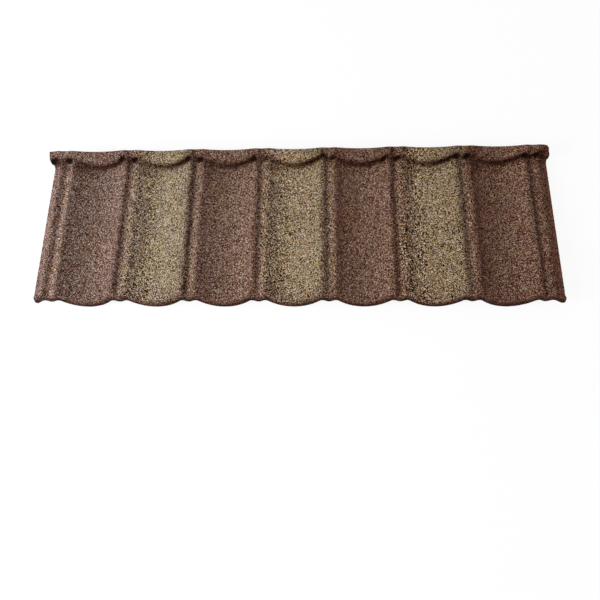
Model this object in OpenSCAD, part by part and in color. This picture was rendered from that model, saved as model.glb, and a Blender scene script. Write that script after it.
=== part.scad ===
// Tile effect roofing sheet: one pressed steel sheet with a stone chip coat.
// Rows of pans and double-ridged ribs run down the slope. The nose turns down
// in front, and the upstand rises behind, both along a wavy bend.
// X runs across the waves, Y up the slope and Z up. The sheet lies as it rests
// on a level floor: on its nose under the pans, and on the bend behind them.

/* [Waves] */
// Number of whole pans across the sheet
pan_count = 7; // [2:1:9]
// Distance from one rib to the next
pitch = 179; // [130:1:260]
// Height of the ribs over the middle of the pans
pan_depth = 23; // [10:0.5:40]
// Distance between the two ridges of a rib
ridge_gap = 35; // [20:1:50]
// Depth of the groove between the two ridges
groove_depth = 4.5; // [1:0.25:6]
// Radius of the rounded shoulder from a ridge into a pan
shoulder_r = 12; // [6:1:45]
// From the left edge to the middle of the first rib
left_margin = 43; // [32:1:60]
// From the middle of the last rib to the right edge
right_margin = 44; // [38:1:80]

/* [Sheet] */
// Length in plan, from the front of the nose to the back of the upstand
sheet_l = 420; // [300:1:600]
// Thickness of the steel with its coat on
sheet_t = 2; // [1.2:0.1:3]

/* [Nose] */
// How far the nose drops below the sheet
nose_drop = 22; // [14:0.5:35]
// How far the nose leans forward from its bend to its lip
nose_run = 11; // [5:0.5:20]
// How far the nose of a rib stays behind the nose of a pan
nose_scallop = 10.5; // [4:0.5:16]
// Radius of the bend into the nose
nose_r = 8; // [4:0.5:10]
// How far the left end of the lip spreads past the side edge
left_lip_spread = 4; // [0:0.5:12]
// How far the right end of the lip spreads past the side edge
right_lip_spread = 6; // [0:0.5:14]
// Radius of the rounded corners at both ends of the lip
lip_corner_r = 8; // [3:0.5:12]

/* [Upstand] */
// Height of the upstand over the middle of a pan
upstand_h = 44; // [36:0.5:60]
// How far the upstand leans back over a pan
upstand_run = 21; // [14:0.5:28]
// How far the bend of a rib stays behind the bend of a pan
crease_scallop = 9.5; // [3:0.5:12]
// How much higher the top edge is at a rib than at a pan
top_wave = 3.5; // [0:0.5:6]
// How much further back the top edge is at a rib than at a pan
top_lean = 2; // [0:0.5:5]
// Radius of the bend into the upstand
crease_r = 4; // [3:0.5:8]
// Radius of the rounded top corner at the right
corner_r = 12; // [6:1:20]

/* [Ears] */
// How far the left end of the upstand bulges past the side edge
left_ear = 11; // [0:0.5:16]
// How far the right end of the upstand bulges past the side edge
right_ear = 7; // [0:0.5:16]
// How far the top left corner spreads past the side edge
left_top_spread = 2; // [-4:0.5:6]
// How far the top right corner draws in from the side edge
right_top_inset = 1.5; // [-4:0.5:8]
// Length of side edge that runs out into each ear
ear_l = 14; // [8:1:24]

/* [Hidden] */

// Facets in half a groove, a shoulder, half a pan, a bend and a round corner.
groove_steps = 3;
shoulder_steps = 3;
pan_steps = 5;
bend_steps = 3;
corner_steps = 3;
// How high up the upstand its ears are widest.
ear_height = 0.4;

sheet_w = left_margin + pan_count * pitch + right_margin;
last_rib = left_margin + pan_count * pitch;
body_l = sheet_l - nose_run - upstand_run - top_lean;
ridge_x = ridge_gap / 2;
pan_run = pitch / 2 - ridge_x;

// Two arcs that meet at a tangent take a curve from one level to another.
// Their radii together follow from the run and the drop.
function both_radii(run, drop) = (run * run + drop * drop) / (2 * drop);
function arc_drop(x, r) = r - sqrt(max(0, r * r - x * x));
function two_arc_drop(x, run, drop, r) =
    let (both = both_radii(run, drop), join = run * r / both)
    x <= join ? arc_drop(x, r) : drop - arc_drop(run - x, both - r);

// Height of the wave over the middle of the pans, from the distance to a rib.
groove_r = both_radii(ridge_x, groove_depth) / 2;
function from_rib(x) =
    let (turns = (x - left_margin) / pitch)
    pitch * abs(turns - round(turns));
function wave(x) =
    let (s = from_rib(x))
    s < ridge_x
        ? pan_depth - groove_depth + two_arc_drop(s, ridge_x, groove_depth, groove_r)
        : pan_depth - two_arc_drop(s - ridge_x, pan_run, pan_depth, shoulder_r);

// Places along half a wave, from the middle of a rib to the middle of a pan.
// Equal turns of each arc keep its facets even.
shoulder_run = pan_run * shoulder_r / both_radii(pan_run, pan_depth);
pan_r = both_radii(pan_run, pan_depth) - shoulder_r;
function arc_places(r, reach, steps) =
    [for (i = [1:steps]) r * sin(asin(reach / r) * i / steps)];
half_wave = concat(
    [for (i = [1:groove_steps]) ridge_x * i / groove_steps],
    [for (p = arc_places(shoulder_r, shoulder_run, shoulder_steps)) ridge_x + p],
    [for (i = [pan_steps - 1:-1:1])
        pitch / 2 - arc_places(pan_r, pan_run - shoulder_run, pan_steps)[i - 1]],
    [pitch / 2]
);
whole_wave = concat([0], half_wave, [for (i = [len(half_wave) - 2:-1:0]) pitch - half_wave[i]]);

// Columns of points across the sheet. The outer ones round the corners.
left_corner_columns = [for (i = [corner_steps:-1:0])
    lip_corner_r * (1 - sin(90 * i / corner_steps))];
left_columns = [for (i = [len(half_wave) - 1:-1:0])
    if (half_wave[i] < left_margin - lip_corner_r - 1) left_margin - half_wave[i]];
wave_columns = [for (k = [0:pan_count - 1], s = whole_wave) left_margin + k * pitch + s];
right_columns = [for (s = half_wave)
    if (s < right_margin - corner_r - 1) last_rib + s];
corner_columns = [for (i = [0:corner_steps])
    sheet_w - corner_r + corner_r * sin(90 * i / corner_steps)];
columns = concat(left_corner_columns, left_columns, wave_columns, [last_rib], right_columns, corner_columns);

// An arc of radius r that rounds the corner b of the path a, b, c.
function unit(v) = v / norm(v);
function turned(v, angle) = [v.x * cos(angle) - v.y * sin(angle), v.x * sin(angle) + v.y * cos(angle)];
function rounded(a, b, c, r) =
    let (
        u = unit(a - b),
        v = unit(c - b),
        half = acos(u * v) / 2,
        centre = b + unit(u + v) * r / sin(half),
        start = b + u * r / tan(half),
        spin = (2 * half - 180) * sign(u.x * v.y - u.y * v.x)
    )
    [for (i = [0:bend_steps]) centre + turned(start - centre, spin * i / bend_steps)];

// One column seen from the side: lip, nose bend, upstand bend and top edge.
function corner_cut(x) = arc_drop(max(0, x - (sheet_w - corner_r)), corner_r);
function lip_cut(x) = arc_drop(max(0, lip_corner_r - min(x, sheet_w - x)), lip_corner_r);
function column(x) =
    let (
        z = wave(x),
        share = z / pan_depth,
        nose = [nose_scallop * share, z],
        full_lip = nose - [nose_run, nose_drop],
        lip = full_lip + unit(nose - full_lip) * lip_cut(x),
        crease = [body_l + crease_scallop * share, z],
        full_top = [body_l + upstand_run + top_lean * share, upstand_h + top_wave * share],
        top = full_top - unit(full_top - crease) * corner_cut(x)
    )
    concat(
        [lip],
        rounded(lip, nose, crease, nose_r),
        [crease - [ear_l, 0]],
        rounded(nose, crease, top, crease_r),
        [crease + (top - crease) * ear_height, top]
    );

// Rows of points up the slope, and how far each one spreads at the two ends.
rows = 2 * bend_steps + 6;
ear_row = bend_steps + 2;
wide_row = rows - 2;
function spread(j, lip_spread, ear, top_spread) =
    j < ear_row ? lip_spread * (1 - j / (ear_row - 1))
    : j <= wide_row ? ear * sin(90 * (j - ear_row) / (wide_row - ear_row))
    : top_spread;
function past_left(x) = max(0, 1 - x / (left_margin - ridge_x));
function past_right(x) = max(0, (x - last_rib - ridge_x) / (right_margin - ridge_x));
function shifted(x, j) = x
    - past_left(x) * spread(j, left_lip_spread, left_ear, left_top_spread)
    + past_right(x) * spread(j, right_lip_spread, right_ear, -right_top_inset);

// The top face, and the bottom face one thickness in from it.
top_face = [for (x = columns)
    let (side = column(x))
    [for (j = [0:rows - 1]) [shifted(x, j), side[j].x, side[j].y]]];
last = len(columns) - 1;
function normal(i, j) =
    let (
        across = top_face[min(i + 1, last)][j] - top_face[max(i - 1, 0)][j],
        along = top_face[i][min(j + 1, rows - 1)] - top_face[i][max(j - 1, 0)]
    )
    unit(cross(across, along));
bottom_face = [for (i = [0:last])
    [for (j = [0:rows - 1]) top_face[i][j] - sheet_t * normal(i, j)]];

// The sheet tips back on its nose until the bends behind the pans touch the floor.
mid_pan = len(left_corner_columns) + len(left_columns) + len(half_wave);
under = bottom_face[mid_pan];
rest_tilt = min([for (j = [ear_row:rows - 1])
    atan2(under[j].z - under[0].z, under[j].y - under[0].y)]);
function settled(p) =
    let (side = turned([p.y, p.z], -rest_tilt))
    [p.x - sheet_w / 2, side.x, side.y];
points = [for (face = [top_face, bottom_face], line = face, p = line) settled(p)];
floor_z = min([for (p = points) p.z]);
middle_x = (min([for (p = points) p.x]) + max([for (p = points) p.x])) / 2;
middle_y = (min([for (p = points) p.y]) + max([for (p = points) p.y])) / 2;

// Faces: two triangles for each cell of a grid, and a band around its rim.
function top_at(p) = p.x * rows + p.y;
function bottom_at(p) = top_at(p) + len(columns) * rows;
function cell(a, b, c, d) = [[a, b, c], [a, c, d]];
grid = [for (i = [0:last - 1], j = [0:rows - 2])
    [[i, j], [i, j + 1], [i + 1, j + 1], [i + 1, j]]];
rim = concat(
    [for (i = [0:last]) [i, 0]],
    [for (j = [1:rows - 1]) [last, j]],
    [for (i = [last - 1:-1:0]) [i, rows - 1]],
    [for (j = [rows - 2:-1:1]) [0, j]]
);
faces = concat(
    [for (c = grid, f = cell(top_at(c[0]), top_at(c[1]), top_at(c[2]), top_at(c[3]))) f],
    [for (c = grid, f = cell(bottom_at(c[0]), bottom_at(c[3]), bottom_at(c[2]), bottom_at(c[1]))) f],
    [for (k = [0:len(rim) - 1])
        let (a = rim[k], b = rim[(k + 1) % len(rim)])
        each cell(top_at(a), top_at(b), bottom_at(b), bottom_at(a))]
);

module sheet() {
    color("#6f5346")
        translate([-middle_x, -middle_y, -floor_z])
            polyhedron(points = points, faces = faces, convexity = 10);
}

sheet();
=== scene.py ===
"""Looks of a tile effect roofing sheet: pressed steel with a coat of stone chips, on a pale floor."""
import math
from types import SimpleNamespace
import bpy
import numpy as np
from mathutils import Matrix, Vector


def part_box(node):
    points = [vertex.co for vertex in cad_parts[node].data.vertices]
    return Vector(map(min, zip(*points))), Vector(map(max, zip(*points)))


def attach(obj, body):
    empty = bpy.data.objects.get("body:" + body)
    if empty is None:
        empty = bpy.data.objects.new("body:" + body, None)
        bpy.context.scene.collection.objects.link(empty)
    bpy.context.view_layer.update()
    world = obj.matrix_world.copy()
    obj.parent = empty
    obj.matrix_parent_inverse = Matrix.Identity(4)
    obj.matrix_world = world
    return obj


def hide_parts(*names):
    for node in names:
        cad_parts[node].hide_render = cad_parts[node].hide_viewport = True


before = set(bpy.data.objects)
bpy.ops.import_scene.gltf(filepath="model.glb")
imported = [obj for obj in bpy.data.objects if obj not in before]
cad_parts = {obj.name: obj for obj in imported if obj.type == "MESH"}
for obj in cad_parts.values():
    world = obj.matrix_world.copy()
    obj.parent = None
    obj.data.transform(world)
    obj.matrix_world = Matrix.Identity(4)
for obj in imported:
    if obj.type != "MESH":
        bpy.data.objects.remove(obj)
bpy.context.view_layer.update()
scene = bpy.context.scene
rng = np.random.default_rng(7)

# Sizes of the pressed sheet, in metres, as the CAD part has them
PAN_COUNT = 7
PITCH = 0.179
PAN_DEPTH = 0.023
RIDGE_GAP = 0.035
GROOVE_DEPTH = 0.0045
SHOULDER_R = 0.012
LEFT_MARGIN = 0.043
RIGHT_MARGIN = 0.044
SHEET_L = 0.420
SHEET_T = 0.002
NOSE_DROP = 0.022
NOSE_RUN = 0.011
NOSE_SCALLOP = 0.0105
NOSE_R = 0.008
LEFT_LIP_SPREAD = 0.004
RIGHT_LIP_SPREAD = 0.006
LIP_CORNER_R = 0.008
UPSTAND_H = 0.044
UPSTAND_RUN = 0.021
CREASE_SCALLOP = 0.0095
TOP_WAVE = 0.0035
TOP_LEAN = 0.002
CREASE_R = 0.004
CORNER_R = 0.012
LEFT_EAR = 0.011
RIGHT_EAR = 0.007
LEFT_TOP_SPREAD = 0.002
RIGHT_TOP_INSET = 0.0015
EAR_L = 0.014
EAR_HEIGHT = 0.4

SHEET_W = LEFT_MARGIN + PAN_COUNT * PITCH + RIGHT_MARGIN
LAST_RIB = LEFT_MARGIN + PAN_COUNT * PITCH
BODY_L = SHEET_L - NOSE_RUN - UPSTAND_RUN - TOP_LEAN
RIDGE_X = RIDGE_GAP / 2
PAN_RUN = PITCH / 2 - RIDGE_X

# Fineness of the coated face, and how deep the gaps between its chips are
COLUMNS = 500
CORNER_COLUMNS = 6
CORNER_CLEARANCE = 0.001
GRIT_DEPTH = 0.0005
# Stretches from lip to top edge: name, CAD rows where it starts and ends, and its steps
STRETCHES = [
    ("nose", 0, 1, 9),
    ("nose_bend", 1, 4, 6),
    ("body", 4, 5, 124),
    ("ear", 5, 6, 4),
    ("crease", 6, 9, 5),
    ("low_upstand", 9, 10, 6),
    ("high_upstand", 10, 11, 9),
]
STEPS = {name: count for name, _, _, count in STRETCHES}
LAST_ROW = sum(STEPS.values())
# CAD rows where the ears start and where they are widest
EAR_ROW = 5
WIDE_ROW = 10
# The plain face below keeps one row in this many, at the bends and on the body
BACK_STEP = 3
BACK_BODY_STEP = 20
# The coat has material slot 0, the plain face below has slot 1, and the cut edge has this one
EDGE_SLOT = 2

# Marks on the coat, painted light and shade among them. Each list holds (place, value) stops with
# straight lines between them.
# Places are in metres: along the sheet from its left edge, from the middle of a rib, from the
# rib on a pan's left, or as the comment on the list says.

# Where the tan chips start in every second pan, and how far short of the next rib they end in each pan
TAN_START = -0.006
TAN_END = (0.0, 0.004, 0.0, 0.002, 0.0, -0.002, 0.0)
TAN_RISE = 0.085
TAN_RISE_POWER = 0.7
TAN_FALL = 0.028
# How much of the tan is left at each distance from the lip
TAN_AT_NOSE = [(0.0, 0.35), (0.022, 0.55), (0.045, 0.80), (0.075, 1.0)]
# Some tan chips on every second rib, more of them to the right
RIB_TAN_AT = [(0.759, 0.006), (1.117, -0.003)]
RIB_TAN_WIDTH = 0.013
RIB_TAN = [(0.043, 0.12), (0.401, 0.20), (0.759, 0.30), (1.117, 0.36)]
# Redder painted shade on the left of each brown pan, the slope turned from the lamp: middle, reach,
# and share along the sheet
RUSSET_AT = 0.040
RUSSET_WIDTH = 0.032
RUSSET = [(0.0, 0.0), (0.45, 0.4), (0.82, 0.7), (1.17, 0.8)]
# Share of nearly black chips in the tan pans: it grows to the right, and is higher on each pan's left
SPECKS_RIGHT = 0.21
SPECKS_LEFT = [(0.76, 0.22), (0.95, 0.34)]
SPECKS_BAND = [(0.0, 0.0), (0.020, 1.0), (0.060, 1.0), (0.085, 0.0)]
# Painted light and shade across each tan pan, for how the lamp falls on its slopes, and the painted
# highlight and shade on the first rib
TAN_PAINTED_LIGHT = [(0.0, 1.0), (0.040, 1.0), (0.060, 1.10), (0.090, 1.08), (0.120, 0.92), (0.160, 0.76),
            (0.179, 0.80)]
FIRST_RIB_PAINTED_LIGHT = [(0.034, 0.0), (0.042, 0.30), (0.048, 0.30), (0.056, 0.0), (0.062, -0.22),
                  (0.070, 0.0)]
# Painted light and shade that the upstand adds along the sheet, from this height over its bend
UPSTAND_PAINTED_LIGHT = [(0.245, 0.0), (0.265, -0.25), (0.295, -0.25), (0.320, 0.0), (1.200, 0.0),
                (1.235, 0.40), (1.305, 0.48), (1.322, 0.0)]
UPSTAND_PAINTED_LIGHT_FROM = 0.006

# Reach of the painted shade, a dark band along the upstand's bend, towards the nose and up the upstand
CREASE_BELOW = 0.011
CREASE_ABOVE = 0.009
# How dark the band is at each distance from the middle of a rib
CREASE_SHADE = [(-0.0895, 0.82), (-0.060, 0.88), (-0.040, 0.94), (-0.028, 0.92), (-0.016, 0.55),
                (-0.008, 0.45), (0.020, 0.45), (0.040, 0.58), (0.060, 0.68), (0.0895, 0.82)]
# How far the band climbs across each pan, and the share of that along the sheet
BAND_RISE = [(0.02, -0.002), (0.15, 0.005)]
BAND_RISE_SHARE = [(0.4, 1.0), (1.2, 0.2)]
# How strong the band is across each tan pan and each brown pan
TAN_BAND = [(0.030, 0.92), (0.090, 0.92), (0.112, 1.08), (0.150, 1.10), (0.165, 1.0)]
BROWN_BAND = [(0.020, 0.88), (0.050, 0.90), (0.080, 0.94), (0.140, 0.96), (0.165, 1.0)]
# Painted shadows, dark pockets where the bend crosses a rib, one row left and one right of its middle,
# from the
# first rib to the last: place from the middle of the rib, height over the bend, and strength
POCKET_SHADOWS = (
    ((-0.037, 0.008, 1.75), (-0.031, 0.008, 1.5), (-0.027, 0.004, 1.6), (-0.025, 0.001, 1.5),
     (-0.015, 0.006, 1.1), (-0.031, 0.000, 1.4), (-0.019, 0.000, 1.4), (-0.017, -0.001, 1.4)),
    ((0.001, 0.004, 1.55), (0.005, 0.003, 1.45), (0.007, 0.001, 1.4), (0.008, 0.001, 0.95),
     (0.012, 0.000, 1.1), (0.006, -0.001, 1.45), (0.010, 0.000, 1.45), (0.013, 0.001, 1.25)),
)
POCKET_WIDTH = 0.011
POCKET_REACH = 0.009
POCKET_MOST = 1.15
# A soft shade below the bend, mostly right of each rib
BELOW_AT = 0.015
BELOW_WIDTH = 0.013
BELOW_SHADE = [(-0.0895, 0.10), (-0.060, 0.10), (-0.030, 0.26), (0.0, 0.28), (0.022, 0.50),
               (0.045, 0.44), (0.0895, 0.10)]
BELOW_SHARE = [(0.07, 1.0), (0.16, 0.5), (0.40, 0.6), (0.75, 0.4), (1.1, 0.6), (1.34, 0.3)]
# The painted shadow streak that climbs from the bend into the right corner, by distance past the last
# rib
STREAK_RISE = [(-0.012, -0.002), (0.004, 0.001), (0.018, 0.007), (0.032, 0.015)]
STREAK_SHADE = [(-0.016, 0.0), (-0.006, 0.80), (0.014, 0.95), (0.026, 0.8), (0.038, 0.2)]
STREAK_WIDTH = 0.0055

# Reach of the painted shadow along the lip and of the painted shade over the nose, and how dark each
# is at each distance from the middle of a rib
LIP_WIDTH = 0.015
LIP_SHADE = [(-0.0895, 1.05), (-0.060, 1.25), (-0.018, 1.2), (0.0, 1.0), (0.018, 1.2),
             (0.032, 1.0), (0.060, 0.9), (0.0895, 1.05)]
NOSE_WIDTH = 0.028
NOSE_SHADE = [(-0.0895, 0.20), (-0.045, 0.20), (0.0, 0.22), (0.030, 0.42), (0.060, 0.42),
              (0.0895, 0.20)]
# Painted shadow on the left flank of each groove, turned from the lamp, from the first rib to the
# last:
# how far left of its middle, how dark, and their reach
GROOVE_SHADE_AT = (0.009, 0.009, 0.008, 0.007, 0.008, 0.009, 0.009, 0.006)
GROOVE_SHADE = (0.28, 0.56, 0.56, 0.42, 0.26, 0.62, 0.22, 0.62)
GROOVE_SHADE_WIDTH = 0.006
# Painted shade under the right ridge of each rib, on the slope turned from the lamp, more so to the
# right
LEE_AT = 0.026
LEE_WIDTH = 0.013
LEE_SHARE = [(0.0, 0.0), (0.94, 0.385), (1.34, 0.46)]
# How far past the last rib's right ridge the tint of the right end takes to set in
RIGHT_END_RUN = 0.012

# Colours of the chips, each with the share of chips that come before it
BROWN_CHIPS = [(0.0, "#200b04"), (0.25, "#50301f"), (0.46, "#805546"), (0.68, "#ac8876"),
               (0.86, "#d6bda9"), (0.95, "#f2e7d8")]
TAN_CHIPS = [(0.0, "#221404"), (0.32, "#664b2a"), (0.40, "#a98a5e"), (0.56, "#dac196"),
             (0.74, "#f9e9ca"), (0.90, "#fff9ee")]
SPECK_COLOUR = "#120c04"
CHIP_SIZE = 0.0015
CHIP_ROUGHNESS = 0.6
CHIP_GLOSS = 0.05
# How far each chip's face leans from the sheet, and how much it bulges
CHIP_LEAN = 0.52
CHIP_BUMP = 0.6
CHIP_BUMP_HEIGHT = 0.0008
# Painted light along the sheet on the brown and the tan chips, from the left end to the right: a sheen
# and more of the lamp's light on the left, less to the right
BROWN_LIGHT_TINTS = [(0.1, (1.15, 1.22, 1.34, 1)), (0.37, (1.08, 1.10, 1.09, 1)),
               (0.63, (1.0, 0.97, 0.93, 1)), (0.9, (0.87, 0.80, 0.75, 1))]
TAN_LIGHT_TINTS = [(0.23, (0.955, 0.945, 0.95, 1)), (0.5, (0.93, 0.88, 0.84, 1)),
             (0.77, (0.83, 0.76, 0.71, 1))]
# Patches with more and with fewer tan chips: scale, detail, least share and gain
PATCH_SCALE = 9.0
PATCH_DETAIL = 3.0
PATCH_LEAST = 0.5
PATCH_GAIN = 0.9
# Blotches of slightly yellow and slightly pink chips
BLOTCH_SCALE = 30.0
BLOTCH_DETAIL = 1.0
BLOTCH_TINTS = [(0.35, (1.02, 1.02, 0.92, 1)), (0.5, (1.0, 1.0, 1.0, 1)),
                (0.65, (1.0, 0.97, 0.99, 1))]
# Unevenness of the shade in the grooves: scale, detail, least share and gain
UNEVEN_SCALE = 22.0
UNEVEN_DETAIL = 2.0
UNEVEN_LEAST = 0.55
UNEVEN_GAIN = 0.9
# How much the painted shades and the painted fold shade differ from chip to chip: least share and gain
SHADE_GRAIN = (0.7, 0.6)
FOLD_SHADE_GRAIN = (0.85, 0.3)
# What the painted fold shade, the painted shades, the redder painted shade and the right end's tint
# leave of a chip's colour
FOLD_SHADE_TINTS = [(0.0, (1.0, 1.0, 1.0, 1)), (0.35, (0.64, 0.56, 0.54, 1)),
              (0.7, (0.27, 0.18, 0.16, 1)), (1.0, (0.040, 0.018, 0.014, 1))]
SHADE_TINTS = [(0.0, (1.0, 1.0, 1.0, 1)), (0.5, (0.57, 0.48, 0.46, 1)),
               (1.0, (0.18, 0.10, 0.085, 1))]
RUSSET_TINT = (0.94, 0.80, 0.80, 1)
RIGHT_END_TINT = (1.05, 0.83, 0.68, 1)

# The zinc below: its colours, the size of its spangles, its mottling and its roughness
ZINC_COLOURS = [(0.25, "#8f918c"), (0.75, "#b3b4ae")]
SPANGLE_SIZE = 0.006
SPANGLE_SHARE = 0.35
ZINC_MOTTLE_SCALE = 18.0
ZINC_MOTTLE_SHARE = 0.65
ZINC_METAL = 0.55
ZINC_ROUGHNESS = (0.38, 0.15)
# The cut edge
EDGE_COLOURS = [(0.3, "#2b1c17"), (0.7, "#4d382f")]
EDGE_SCALE = 900.0
EDGE_ROUGHNESS = 0.8

# The floor: its size, its gap below the sheet, its colour, and how much of its own glow the
# camera sees in it
FLOOR_SIZE = 14.0
FLOOR_GAP = 0.0005
FLOOR_COLOUR = (0.86, 0.86, 0.86, 1)
FLOOR_ROUGHNESS = 0.9
FLOOR_GLOW = 1.135
FLOOR_GLOW_SHARE = 0.75
# Even light from all round, and one soft lamp on the left
FILL_LEVEL = 0.50
LAMP_PLACE = (-3.3, -1.1, 1.5)
LAMP_SIZE = 1.6
LAMP_POWER = 80
# The camera: its place, its turn in degrees, its lens and sensor in millimetres, and how many
# metres it sees
CAMERA_PLACE = (0.0660, -0.4687, 1.2071)
CAMERA_TURN = (12.802, 2.258, 0.449)
CAMERA_LENS = 28.8
CAMERA_SENSOR = 36.0
CAMERA_REACH = 50.0


# The wave across the sheet

def both_radii(run, drop):
    """Sum of the radii of two arcs that meet at a tangent and go from level to level."""
    return (run * run + drop * drop) / (2 * drop)


def arc_drop(x, radius):
    """How far an arc that starts level has dropped at x."""
    return radius - np.sqrt(np.maximum(0, radius * radius - x * x))


def two_arc_drop(x, run, drop, radius):
    """How far two arcs that meet at a tangent have dropped at x. The first has the given radius."""
    both = both_radii(run, drop)
    join = run * radius / both
    return np.where(x <= join, arc_drop(x, radius), drop - arc_drop(run - x, both - radius))


def rib_turns(x):
    """Place of x counted in pitches from the first rib."""
    return (x - LEFT_MARGIN) / PITCH


def wave(x):
    """Height over the middle of the pans."""
    turns = rib_turns(x)
    from_rib = PITCH * np.abs(turns - np.round(turns))
    groove_r = both_radii(RIDGE_X, GROOVE_DEPTH) / 2
    rib = PAN_DEPTH - GROOVE_DEPTH + two_arc_drop(from_rib, RIDGE_X, GROOVE_DEPTH, groove_r)
    pan = PAN_DEPTH - two_arc_drop(from_rib - RIDGE_X, PAN_RUN, PAN_DEPTH, SHOULDER_R)
    return np.where(from_rib < RIDGE_X, rib, pan)


# One column of points up the slope

def unit(v):
    return v / np.linalg.norm(v)


def turned(v, angle):
    c = math.cos(angle)
    s = math.sin(angle)
    return np.array([v[0] * c - v[1] * s, v[0] * s + v[1] * c])


def rounded(a, b, c, radius, steps):
    """Points of an arc that rounds the corner b of the path a, b, c."""
    u = unit(a - b)
    v = unit(c - b)
    half = math.acos(float(u @ v)) / 2
    centre = b + unit(u + v) * radius / math.sin(half)
    start = b + u * radius / math.tan(half)
    spin = (2 * half - math.pi) * np.sign(u[0] * v[1] - u[1] * v[0])
    return [centre + turned(start - centre, spin * i / steps) for i in range(steps + 1)]


def stretch(a, b, name):
    """Points of a straight stretch from a to b, without b."""
    return [a + (b - a) * i / STEPS[name] for i in range(STEPS[name])]


def column(x):
    """Points (y, z) from the lip over both bends to the top edge."""
    z = float(wave(x))
    share = z / PAN_DEPTH
    nose = np.array([NOSE_SCALLOP * share, z])
    full_lip = nose - np.array([NOSE_RUN, NOSE_DROP])
    lip_cut = arc_drop(max(0.0, LIP_CORNER_R - min(x, SHEET_W - x)), LIP_CORNER_R)
    lip = full_lip + unit(nose - full_lip) * lip_cut
    crease = np.array([BODY_L + CREASE_SCALLOP * share, z])
    full_top = np.array([BODY_L + UPSTAND_RUN + TOP_LEAN * share, UPSTAND_H + TOP_WAVE * share])
    corner_cut = arc_drop(max(0.0, x - (SHEET_W - CORNER_R)), CORNER_R)
    top = full_top - unit(full_top - crease) * corner_cut
    nose_bend = rounded(lip, nose, crease, NOSE_R, STEPS["nose_bend"])
    crease_bend = rounded(nose, crease, top, CREASE_R, STEPS["crease"])
    ear_start = crease - np.array([EAR_L, 0])
    wide = crease + (top - crease) * EAR_HEIGHT
    return np.array(
        stretch(lip, nose_bend[0], "nose") + nose_bend[:-1]
        + stretch(nose_bend[-1], ear_start, "body")
        + stretch(ear_start, crease_bend[0], "ear") + crease_bend[:-1]
        + stretch(crease_bend[-1], wide, "low_upstand")
        + stretch(wide, top, "high_upstand") + [top]
    )


# The coated face as a grid of points, columns by rows

def steps_before(name):
    """Number of fine rows before a stretch."""
    names = list(STEPS)
    return sum(STEPS[other] for other in names[:names.index(name)])


def row_numbers():
    """The CAD row that each fine row stands for, with a fraction between rows."""
    rows = [a + (b - a) * i / count for _, a, b, count in STRETCHES for i in range(count)]
    return np.array(rows + [STRETCHES[-1][2]], float)


def spread(rows, lip_spread, ear, top_spread):
    """How far each row reaches past the side edge."""
    nose_part = lip_spread * np.clip(1 - rows / (EAR_ROW - 1), 0, 1)
    ear_turn = np.clip((rows - EAR_ROW) / (WIDE_ROW - EAR_ROW), 0, 1) * math.pi / 2
    above = np.clip(rows - WIDE_ROW, 0, 1)
    return nose_part + ear * np.sin(ear_turn) * (1 - above) + top_spread * above


def column_places():
    """Places of the columns: even, with more of them round the corners."""
    even = np.linspace(0, SHEET_W, COLUMNS + 1)
    turns = np.sin(np.linspace(0, math.pi / 2, CORNER_COLUMNS))
    left_corner = LIP_CORNER_R * (1 - turns)
    right_corner = SHEET_W - CORNER_R * (1 - turns)
    first = LIP_CORNER_R + CORNER_CLEARANCE
    last = SHEET_W - CORNER_R - CORNER_CLEARANCE
    return np.sort(np.concatenate([left_corner, even[(even > first) & (even < last)], right_corner]))


def top_face():
    """Grid of points of the coated face before it is laid down."""
    xs = column_places()
    rows = row_numbers()
    sides = np.array([column(x) for x in xs])
    past_left = np.maximum(0, 1 - xs / (LEFT_MARGIN - RIDGE_X))
    past_right = np.maximum(0, (xs - LAST_RIB - RIDGE_X) / (RIGHT_MARGIN - RIDGE_X))
    left_spread = spread(rows, LEFT_LIP_SPREAD, LEFT_EAR, LEFT_TOP_SPREAD)
    right_spread = spread(rows, RIGHT_LIP_SPREAD, RIGHT_EAR, -RIGHT_TOP_INSET)
    shift = np.outer(past_right, right_spread) - np.outer(past_left, left_spread)
    return np.dstack([xs[:, None] + shift, sides[..., 0], sides[..., 1]])


def grid_normals(grid):
    across = np.gradient(grid, axis=0)
    along = np.gradient(grid, axis=1)
    n = np.cross(across, along)
    return n / np.linalg.norm(n, axis=2, keepdims=True)


# Marks on the coated face that the coat's material reads, painted light and shade among them

def near(distance, width):
    """1 at no distance, falling off smoothly to both sides."""
    return np.exp(-(distance / width) ** 2)


def between(x, stops):
    """Value at x on the straight lines between the stops."""
    return np.interp(x, *zip(*stops))


def point_places(top):
    """Where each point of the coated face lies on the sheet."""
    xs = np.repeat(column_places()[:, None], top.shape[1], axis=1)
    turns = rib_turns(xs)
    pan = np.clip(np.floor(turns), 0, PAN_COUNT - 1).astype(int)
    steps = np.linalg.norm(np.diff(top, axis=1), axis=2)
    from_lip = np.concatenate([np.zeros((top.shape[0], 1)), np.cumsum(steps, axis=1)], axis=1)
    crease_row = steps_before("crease") + STEPS["crease"] // 2
    return SimpleNamespace(
        xs=xs,
        past_last_rib=xs - LAST_RIB,
        rib=np.clip(np.round(turns), 0, PAN_COUNT).astype(int),
        from_rib=(turns - np.round(turns)) * PITCH,
        pan=pan,
        in_pan=(turns - pan) * PITCH,
        in_tan_pan=pan % 2 == 1,
        from_lip=from_lip,
        over_bend=from_lip - from_lip[:, crease_row:crease_row + 1],
    )


def tan_share(at):
    """Share of tan chips: high in every second pan, low on every second rib."""
    rise = np.clip((at.in_pan - TAN_START) / TAN_RISE, 0, 1)
    fall = np.clip((PITCH - np.array(TAN_END)[at.pan] - at.in_pan) / TAN_FALL, 0, 1)
    in_pans = np.where(at.in_tan_pan, rise ** TAN_RISE_POWER * fall, 0)
    on_ribs = near(at.from_rib - between(at.xs, RIB_TAN_AT), RIB_TAN_WIDTH) * (at.rib % 2 == 0)
    on_ribs = on_ribs * between(at.xs, RIB_TAN)
    return np.maximum(in_pans, on_ribs) * between(at.from_lip, TAN_AT_NOSE)


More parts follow.
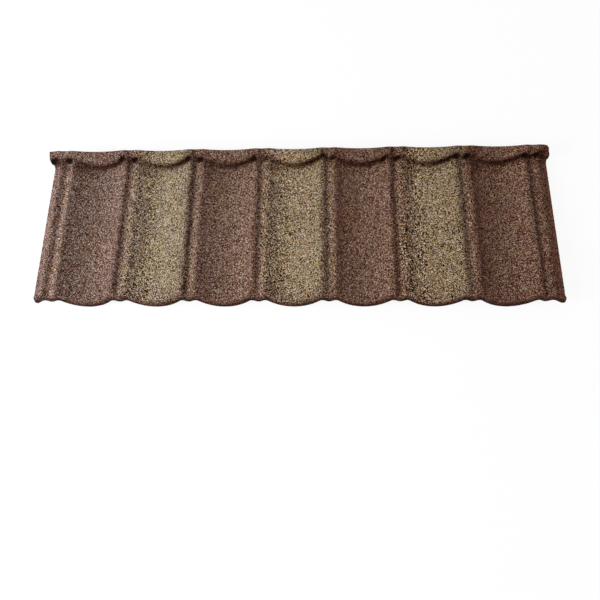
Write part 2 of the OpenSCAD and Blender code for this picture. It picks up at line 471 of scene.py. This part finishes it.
def band_shade_depth(at):
    """The painted shade band along the upstand's bend."""
    rise = between(at.in_pan, BAND_RISE) * between(at.xs, BAND_RISE_SHARE)
    over_band = at.over_bend - rise
    band = near(np.minimum(over_band, 0), CREASE_BELOW) * near(np.maximum(over_band, 0), CREASE_ABOVE)
    strength = np.where(at.in_tan_pan, between(at.in_pan, TAN_BAND), between(at.in_pan, BROWN_BAND))
    return band * between(at.from_rib, CREASE_SHADE) * strength


def pocket_shadow_depth(at, pockets):
    """One row of painted shadow pockets where the bend crosses the ribs."""
    place, up, strength = np.moveaxis(np.array(pockets)[at.rib], -1, 0)
    pocket = near(at.from_rib - place, POCKET_WIDTH) * near(at.over_bend - up, POCKET_REACH)
    return np.minimum(POCKET_MOST, strength * pocket)


def below_depth(at):
    """The soft shade below the bend."""
    below = near(at.over_bend + BELOW_AT, BELOW_WIDTH)
    return below * between(at.from_rib, BELOW_SHADE) * between(at.xs, BELOW_SHARE)


def streak_shadow_depth(at):
    """The painted shadow streak into the right corner."""
    rise = between(at.past_last_rib, STREAK_RISE)
    return near(at.over_bend - rise, STREAK_WIDTH) * between(at.past_last_rib, STREAK_SHADE)


def fold_shade_depth(at):
    """How deep in the painted shade of the fold each point lies."""
    folds = [band_shade_depth(at), below_depth(at), streak_shadow_depth(at)]
    folds += [pocket_shadow_depth(at, pockets) for pockets in POCKET_SHADOWS]
    return np.maximum.reduce(folds)


def speck_share(at):
    """Share of nearly black chips in the tan pans."""
    on_left = between(at.in_pan, SPECKS_BAND) * between(at.xs, SPECKS_LEFT)
    return np.where(at.in_tan_pan, on_left + SPECKS_RIGHT * at.xs / SHEET_W, 0)


def chip_tone_and_painted_light(at, specks):
    """How light the chips are, with painted light and shade across the tan pans, on the first rib and
    on the upstand. In the tan pans it also makes up for the nearly black ones.
    """
    in_pans = np.where(at.in_tan_pan, between(at.in_pan, TAN_PAINTED_LIGHT), 1) / (1 - specks)
    on_upstand = between(at.xs, UPSTAND_PAINTED_LIGHT) * (at.over_bend > UPSTAND_PAINTED_LIGHT_FROM)
    return in_pans + between(at.xs, FIRST_RIB_PAINTED_LIGHT) + on_upstand


def add_marks(mesh, top):
    """Gives the coated face, whose points come first in the mesh, its marks as attributes."""
    at = point_places(top)
    tan = tan_share(at)
    specks = speck_share(at)
    # lip: painted shadow under the lip; nose: painted shade on the nose face
    lip = near(at.from_lip, LIP_WIDTH) * between(at.from_rib, LIP_SHADE)
    flank = at.from_rib + np.array(GROOVE_SHADE_AT)[at.rib]
    russet_shade = near(at.in_pan - RUSSET_AT, RUSSET_WIDTH) * between(at.xs, RUSSET)
    marks = {
        "tan_share": tan,
        # Painted shade and shadow: along the fold, on the lip and nose, in the grooves, under the
        # ridges, and the redder shade in the brown pans
        "fold_shade": fold_shade_depth(at),
        "lip": np.minimum(1, lip),
        "nose": near(at.from_lip, NOSE_WIDTH) * between(at.from_rib, NOSE_SHADE),
        "groove": near(flank, GROOVE_SHADE_WIDTH) * np.array(GROOVE_SHADE)[at.rib],
        "lee_shade": near(at.from_rib - LEE_AT, LEE_WIDTH) * between(at.xs, LEE_SHARE) * (1 - tan),
        "russet_shade": np.where(at.in_tan_pan, 0, russet_shade),
        "right_end": np.clip((at.past_last_rib - RIDGE_X) / RIGHT_END_RUN, 0, 1),
        "across": at.xs / SHEET_W,
        "specks": specks,
        # tone holds painted light and shade as well as the chips' own lightness
        "tone": chip_tone_and_painted_light(at, specks),
    }
    for name, values in marks.items():
        full = np.zeros(len(mesh.vertices), np.float32)
        full[:values.size] = values.reshape(-1)
        mesh.attributes.new(name, "FLOAT", "POINT").data.foreach_set("value", full)


# The whole sheet

def laid_down(points, lip, bends):
    """Tips the sheet back on its lip until the bends behind touch, and puts it in the CAD box."""
    tilt = np.min(np.arctan2(bends[:, 2] - lip[2], bends[:, 1] - lip[1]))
    c = math.cos(-tilt)
    s = math.sin(-tilt)
    out = points.copy()
    out[:, 1] = points[:, 1] * c - points[:, 2] * s
    out[:, 2] = points[:, 1] * s + points[:, 2] * c
    low, high = (np.array(corner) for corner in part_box("sheet"))
    size = out.max(0) - out.min(0)
    fit = np.minimum(1, (high - low) / size)
    return (out - out.min(0) - size / 2) * fit + (low + high) / 2


def back_row_numbers():
    """The fine rows that the plain face below keeps."""
    start = steps_before("body")
    end = steps_before("ear")
    kept = {0, end, LAST_ROW}
    for row in range(LAST_ROW + 1):
        step = BACK_BODY_STEP if start < row < end else BACK_STEP
        if (row - start) % step == 0:
            kept.add(row)
    return sorted(kept)


def sheet_faces(columns, rows, back_rows):
    """Faces of the coat, of the plain face below, and of the cut edge all round."""
    last = columns - 1
    back = len(back_rows)

    def front_at(i, j):
        return i * rows + j

    def back_at(i, k):
        return columns * rows + i * back + k

    coat = [(front_at(i, j), front_at(i + 1, j), front_at(i + 1, j + 1), front_at(i, j + 1))
            for i in range(last) for j in range(rows - 1)]
    below = [(back_at(i, k), back_at(i, k + 1), back_at(i + 1, k + 1), back_at(i + 1, k))
             for i in range(last) for k in range(back - 1)]
    edge = []
    for i in range(last):
        edge.append((front_at(i, 0), back_at(i, 0), back_at(i + 1, 0), front_at(i + 1, 0)))
        edge.append((front_at(i + 1, rows - 1), back_at(i + 1, back - 1),
                     back_at(i, back - 1), front_at(i, rows - 1)))
    for k in range(back - 1):
        span = range(back_rows[k], back_rows[k + 1] + 1)
        left = [front_at(0, j) for j in span]
        right = [front_at(last, j) for j in reversed(span)]
        edge.append(tuple(left + [back_at(0, k + 1), back_at(0, k)]))
        edge.append(tuple(right + [back_at(last, k), back_at(last, k + 1)]))
    return coat, below, edge


def sheet_piece():
    """The whole sheet as one closed mesh: fine chips on top, plain below."""
    top = top_face()
    columns, rows, _ = top.shape
    back_rows = back_row_numbers()
    bottom = (top - SHEET_T * grid_normals(top))[:, back_rows]
    mid_pan = int(np.argmin(abs(top[:, 0, 0] - LEFT_MARGIN - PITCH / 2)))
    rear = [k for k, row in enumerate(back_rows) if row >= steps_before("ear")]
    points = np.concatenate([top.reshape(-1, 3), bottom.reshape(-1, 3)])
    placed = laid_down(points, bottom[mid_pan][0], bottom[mid_pan][rear])
    coat_points = columns * rows
    grit = rng.uniform(0, GRIT_DEPTH, coat_points)
    normals = grid_normals(placed[:coat_points].reshape(top.shape)).reshape(-1, 3)
    placed[:coat_points] -= normals * grit[:, None]

    coat, below, edge = sheet_faces(columns, rows, back_rows)
    mesh = bpy.data.meshes.new("sheet_coated")
    mesh.from_pydata(placed.tolist(), [], coat + below + edge)
    slots = np.arange(EDGE_SLOT + 1, dtype=np.int32).repeat([len(coat), len(below), len(edge)])
    mesh.polygons.foreach_set("material_index", slots)
    mesh.polygons.foreach_set("use_smooth", slots != EDGE_SLOT)
    add_marks(mesh, top)
    mesh.update()
    piece = bpy.data.objects.new("sheet_coated", mesh)
    scene.collection.objects.link(piece)
    return piece


# Materials

class Nodes:
    """A short way to write a material's nodes."""

    def __init__(self, name):
        self.material = bpy.data.materials.new(name)
        self.material.use_nodes = True
        self.tree = self.material.node_tree
        self.shader = self.tree.nodes["Principled BSDF"]

    def add(self, kind, **settings):
        node = self.tree.nodes.new("ShaderNode" + kind)
        for key, value in settings.items():
            setattr(node, key, value)
        return node

    def link(self, source, target):
        self.tree.links.new(source, target)

    def put(self, value, socket):
        """Links a socket, or sets a plain value."""
        if isinstance(value, bpy.types.NodeSocket):
            self.link(value, socket)
        else:
            socket.default_value = value

    def math(self, operation, a, b, clamp=False):
        node = self.add("Math", operation=operation, use_clamp=clamp)
        self.put(a, node.inputs[0])
        self.put(b, node.inputs[1])
        return node.outputs[0]

    def line(self, value, least, gain):
        """The least value plus the gain times a value."""
        return self.math("ADD", least, self.math("MULTIPLY", value, gain))

    def vector(self, operation, a, b):
        node = self.add("VectorMath", operation=operation)
        self.put(a, node.inputs[0])
        self.put(b, node.inputs[1])
        return node.outputs[0]

    def scaled(self, value, factor):
        """A colour or vector times a number."""
        node = self.add("VectorMath", operation="SCALE")
        self.put(value, node.inputs[0])
        self.put(factor, node.inputs["Scale"])
        return node.outputs[0]

    def mix(self, factor, a, b, blend="MIX"):
        node = self.add("Mix", data_type="RGBA", blend_type=blend)
        self.put(factor, node.inputs[0])
        self.put(a, node.inputs[6])
        self.put(b, node.inputs[7])
        return node.outputs[2]

    def ramp(self, factor, stops, interpolation="LINEAR"):
        """Colours at stops along a factor, as hex codes or as linear values."""
        node = self.add("ValToRGB")
        node.color_ramp.interpolation = interpolation
        elements = node.color_ramp.elements
        while len(elements) < len(stops):
            elements.new(0.5)
        for element, (place, value) in zip(elements, stops):
            element.position = place
            element.color = colour(value) if isinstance(value, str) else value
        self.link(factor, node.inputs[0])
        return node.outputs[0]

    def attribute(self, name):
        return self.add("Attribute", attribute_name=name).outputs["Fac"]

    def coordinates(self):
        return self.add("TexCoord").outputs["Object"]

    def noise(self, scale, detail=2.0):
        node = self.add("TexNoise")
        node.inputs["Scale"].default_value = scale
        node.inputs["Detail"].default_value = detail
        self.link(self.coordinates(), node.inputs["Vector"])
        return node.outputs["Fac"]

    def chips(self, size):
        """Random colour of each chip, and the distance from its middle."""
        node = self.add("TexVoronoi")
        node.inputs["Scale"].default_value = 1 / size
        self.link(self.coordinates(), node.inputs["Vector"])
        return node.outputs["Color"], node.outputs["Distance"]

    def parts(self, value):
        """The three parts of a colour."""
        node = self.add("SeparateColor")
        self.link(value, node.inputs[0])
        return node.outputs[:]


def colour(code):
    """Linear colour of a hex code."""
    parts = [int(code[i:i + 2], 16) / 255 for i in (1, 3, 5)]
    linear = [p / 12.92 if p <= 0.04045 else ((p + 0.055) / 1.055) ** 2.4 for p in parts]
    return (*linear, 1.0)


def mixed_chips(n, shade_pick, kind_pick, speck_pick):
    """Brown and tan chips mixed by chance, with nearly black ones between them."""
    across = n.attribute("across")
    brown = n.ramp(shade_pick, BROWN_CHIPS, "CONSTANT")
    # Painted sheen and lamp falloff along the sheet, lighter and greyer on the left
    brown = n.mix(1.0, brown, n.ramp(across, BROWN_LIGHT_TINTS), "MULTIPLY")
    tan = n.ramp(shade_pick, TAN_CHIPS, "CONSTANT")
    tan = n.mix(1.0, tan, n.ramp(across, TAN_LIGHT_TINTS), "MULTIPLY")
    patches = n.line(n.noise(PATCH_SCALE, PATCH_DETAIL), PATCH_LEAST, PATCH_GAIN)
    share = n.math("MULTIPLY", n.attribute("tan_share"), patches)
    chips = n.mix(n.math("LESS_THAN", kind_pick, share), brown, tan)
    is_speck = n.math("LESS_THAN", speck_pick, n.attribute("specks"))
    chips = n.mix(is_speck, chips, colour(SPECK_COLOUR))
    blotches = n.ramp(n.noise(BLOTCH_SCALE, BLOTCH_DETAIL), BLOTCH_TINTS)
    chips = n.mix(1.0, chips, blotches, "MULTIPLY")
    # The tone also carries painted light and shade on the tan pans, the first rib and the upstand
    return n.scaled(chips, n.attribute("tone"))


def shaded_chips(n, chips, grain_pick):
    """The chips with the painted shades and shadows, the redder painted shade and the right end's tint
    on them.
    """
    uneven = n.line(n.noise(UNEVEN_SCALE, UNEVEN_DETAIL), UNEVEN_LEAST, UNEVEN_GAIN)
    shade = n.math("MULTIPLY", n.attribute("groove"), uneven)
    # The lee, nose and lip marks are painted shades
    for name in ("lee_shade", "nose", "lip"):
        shade = n.math("MAXIMUM", shade, n.attribute(name))
    shade = n.math("MULTIPLY", shade, n.line(grain_pick, *SHADE_GRAIN), clamp=True)
    chips = n.mix(1.0, chips, n.ramp(shade, SHADE_TINTS), "MULTIPLY")
    # Painted shade in the folds, darkest in the painted pocket shadows
    fold_shade = n.math("MULTIPLY", n.attribute("fold_shade"), n.line(grain_pick, *FOLD_SHADE_GRAIN))
    chips = n.mix(1.0, chips, n.ramp(fold_shade, FOLD_SHADE_TINTS), "MULTIPLY")
    chips = n.mix(n.attribute("russet_shade"), chips, RUSSET_TINT, "MULTIPLY")
    return n.mix(n.attribute("right_end"), chips, RIGHT_END_TINT, "MULTIPLY")


def chip_normals(n, chip_colour, chip_distance):
    """Each chip's face leans its own way and bulges a little."""
    lean = n.scaled(n.vector("SUBTRACT", chip_colour, (0.5, 0.5, 0.5)), CHIP_LEAN)
    leaned = n.vector("ADD", n.add("NewGeometry").outputs["Normal"], lean)
    facet = n.add("VectorMath", operation="NORMALIZE")
    n.link(leaned, facet.inputs[0])
    bump = n.add("Bump")
    bump.inputs["Strength"].default_value = CHIP_BUMP
    bump.inputs["Distance"].default_value = CHIP_BUMP_HEIGHT
    n.link(n.math("SUBTRACT", 1.0, chip_distance), bump.inputs["Height"])
    n.link(facet.outputs[0], bump.inputs["Normal"])
    return bump.outputs[0]


def coat_material():
    """The coat of stone chips."""
    n = Nodes("stone_chip_coat")
    chip_colour, chip_distance = n.chips(CHIP_SIZE)
    first, second, third = n.parts(chip_colour)
    chips = shaded_chips(n, mixed_chips(n, first, second, third), third)
    n.link(chips, n.shader.inputs["Base Color"])
    n.shader.inputs["Roughness"].default_value = CHIP_ROUGHNESS
    n.shader.inputs["Specular IOR Level"].default_value = CHIP_GLOSS
    n.link(chip_normals(n, chip_colour, chip_distance), n.shader.inputs["Normal"])
    return n.material


def underside_material():
    """Zinc coated steel, slightly mottled."""
    n = Nodes("zinc_underside")
    spangle, _ = n.chips(SPANGLE_SIZE)
    shade_pick, rough_pick, _ = n.parts(spangle)
    mottle = n.math("MULTIPLY", n.noise(ZINC_MOTTLE_SCALE), ZINC_MOTTLE_SHARE)
    tone = n.math("ADD", n.math("MULTIPLY", shade_pick, SPANGLE_SHARE), mottle)
    n.link(n.ramp(tone, ZINC_COLOURS), n.shader.inputs["Base Color"])
    n.shader.inputs["Metallic"].default_value = ZINC_METAL
    n.link(n.line(rough_pick, *ZINC_ROUGHNESS), n.shader.inputs["Roughness"])
    return n.material


def edge_material():
    """The cut edge, dark with the resin of the coat."""
    n = Nodes("cut_edge")
    n.link(n.ramp(n.noise(EDGE_SCALE), EDGE_COLOURS), n.shader.inputs["Base Color"])
    n.shader.inputs["Roughness"].default_value = EDGE_ROUGHNESS
    return n.material


def floor_material():
    """A white floor that shows near white to the camera and keeps a soft shadow."""
    n = Nodes("studio_floor")
    n.shader.inputs["Base Color"].default_value = FLOOR_COLOUR
    n.shader.inputs["Roughness"].default_value = FLOOR_ROUGHNESS
    glow = n.add("Emission")
    glow.inputs["Strength"].default_value = FLOOR_GLOW
    path = n.add("LightPath")
    seen = n.math("MAXIMUM", path.outputs["Is Camera Ray"], path.outputs["Is Glossy Ray"])
    mixed = n.add("MixShader")
    n.link(n.math("MULTIPLY", seen, FLOOR_GLOW_SHARE), mixed.inputs[0])
    n.link(n.shader.outputs[0], mixed.inputs[1])
    n.link(glow.outputs[0], mixed.inputs[2])
    n.link(mixed.outputs[0], n.tree.nodes["Material Output"].inputs["Surface"])
    return n.material


# Floor, light and camera

def add_floor():
    bpy.ops.mesh.primitive_plane_add(size=FLOOR_SIZE, location=(0, 0, -FLOOR_GAP))
    floor = bpy.context.object
    floor.name = "floor"
    floor.data.materials.append(floor_material())


def add_lamp(name, place, size, power):
    """A square lamp that faces the middle of the sheet."""
    light = bpy.data.lights.new(name, "AREA")
    light.shape = "SQUARE"
    light.size = size
    light.energy = power
    lamp = bpy.data.objects.new(name, light)
    lamp.location = place
    lamp.rotation_euler = (-Vector(place)).to_track_quat("-Z", "Y").to_euler()
    scene.collection.objects.link(lamp)


def add_world():
    """Even light from all round. The camera itself sees a white studio."""
    world = bpy.data.worlds.new("studio")
    world.use_nodes = True
    nodes = world.node_tree.nodes
    links = world.node_tree.links
    background = nodes["Background"]
    background.inputs["Color"].default_value = (1, 1, 1, 1)
    level = nodes.new("ShaderNodeMapRange")
    level.inputs["To Min"].default_value = FILL_LEVEL
    level.inputs["To Max"].default_value = 1.0
    links.new(nodes.new("ShaderNodeLightPath").outputs["Is Camera Ray"], level.inputs["Value"])
    links.new(level.outputs["Result"], background.inputs["Strength"])
    scene.world = world


def add_camera():
    data = bpy.data.cameras.new("camera")
    data.sensor_width = CAMERA_SENSOR
    data.lens = CAMERA_LENS
    data.clip_end = CAMERA_REACH
    camera = bpy.data.objects.new("camera", data)
    camera.location = CAMERA_PLACE
    camera.rotation_euler = [math.radians(angle) for angle in CAMERA_TURN]
    scene.collection.objects.link(camera)
    scene.camera = camera


# The scene

piece = sheet_piece()
for material in (coat_material(), underside_material(), edge_material()):
    piece.data.materials.append(material)
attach(piece, "root")
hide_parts("sheet")

add_floor()
add_lamp("key_left", LAMP_PLACE, LAMP_SIZE, LAMP_POWER)
add_world()
add_camera()
scene.view_settings.view_transform = "Standard"

bpy.context.view_layer.update()
